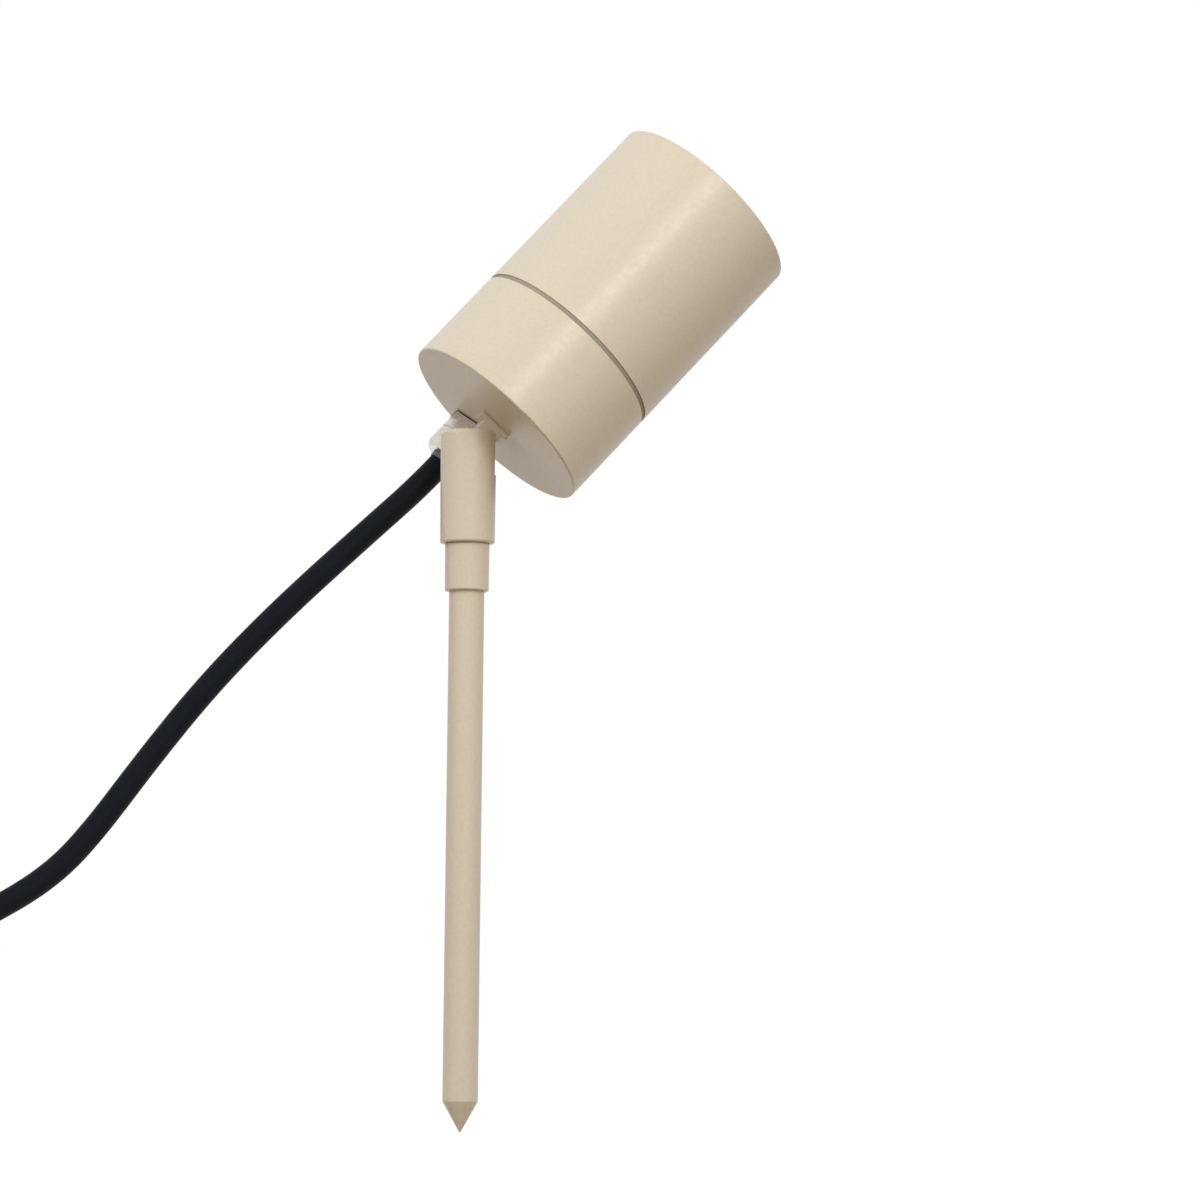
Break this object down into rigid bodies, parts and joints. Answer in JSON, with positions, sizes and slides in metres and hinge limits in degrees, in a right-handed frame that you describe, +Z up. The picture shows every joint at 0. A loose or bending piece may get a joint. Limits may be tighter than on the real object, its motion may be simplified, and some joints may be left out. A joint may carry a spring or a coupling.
{
  "type": "garden spike spotlight",
  "caption": "Beige garden spotlight: cylindrical head on a tilting bracket and stem, round ground spike, black cord with plug.",
  "frame": {"origin": "On the spike's axis, where its cone begins, 8.6 mm above the tip.", "axes": "Z up along the spike, X the side that the head leans to, Y along the tilt axis, away from the side with the plain cheek."},
  "size_m": [0.5166, 0.067, 0.2892],
  "materials": {
    "sand_paint": "fine-texture satin powder coat",
    "nickel_brass": "satin nickel plating",
    "stainless": "turned, satin",
    "black_rubber": "matte",
    "black_strap": "hook-and-loop strap",
    "grey_rubber": "matte",
    "clear_glass": "polished",
    "lamp_plastic": "smooth",
    "ceramic_white": "unglazed",
    "brass": "plain",
    "bush_plastic": "smooth",
    "wire_brown": "smooth",
    "wire_blue": "smooth",
    "wire_green_yellow": "smooth, striped"
  },
  "bodies": {
    "stand": {"stem": "sand_paint", "stem_grub_screw": "stainless", "pivot_screw": "stainless", "pivot_washer": "stainless", "cord": "black_rubber", "cord_hank": "black_rubber", "cord_tie": "black_strap", "plug_relief": "black_rubber", "plug_body": "black_rubber", "plug_pins": "nickel_brass", "plug_earth_clips": "nickel_brass"},
    "ground_bar": {"spike": "sand_paint", "spike_collar": "sand_paint"},
    "head": {"pivot_bush": "bush_plastic", "tilt_bracket": "sand_paint", "bracket_seal": "black_rubber", "bracket_screw": "stainless", "back_cap": "sand_paint", "seam_gasket": "black_rubber", "gland_body": "nickel_brass", "gland_oring": "black_rubber", "gland_seal": "grey_rubber", "gland_nut": "nickel_brass", "cable_tail": "black_rubber", "lamp_holder": "ceramic_white", "holder_contacts": "brass", "holder_bracket": "stainless", "holder_screw_a": "stainless", "holder_screw_b": "stainless", "terminal_block": "ceramic_white", "terminal_screws": "brass", "earth_screw": "brass", "wire_live": "wire_brown", "wire_neutral": "wire_blue", "wire_earth": "wire_green_yellow", "lead_live": "wire_brown", "lead_neutral": "wire_blue"},
    "front": {"front_tube": "sand_paint", "lens_gasket": "black_rubber", "front_lens": "clear_glass", "lens_ring": "sand_paint"},
    "lamp": {"lamp_shell": "lamp_plastic", "lamp_lens": "clear_glass", "lamp_base": "lamp_plastic", "lamp_pins": "brass"}
  },
  "joints": [
    {"name": "spike_turn", "type": "hinge", "parent": "stand", "child": "ground_bar", "pos_m": [0, 0, 0.16], "axis": [0, 0, 1], "range_deg": [-180, 180]},
    {"name": "head_tilt", "type": "hinge", "parent": "stand", "child": "head", "pos_m": [0, 0, 0.1855], "axis": [0, -1, 0], "range_deg": [-47, 42.6], "deforming": ["cord"]},
    {"name": "front_off", "type": "slide", "parent": "head", "child": "front", "axis": [0.6778, 0, 0.7353], "range_m": [0, 0.009]},
    {"name": "lamp_turn", "type": "hinge", "parent": "head", "child": "lamp", "pos_m": [0.00732, -0.002, 0.19344], "axis": [0.6778, 0, 0.7353], "range_deg": [0, 20]}
  ]
}
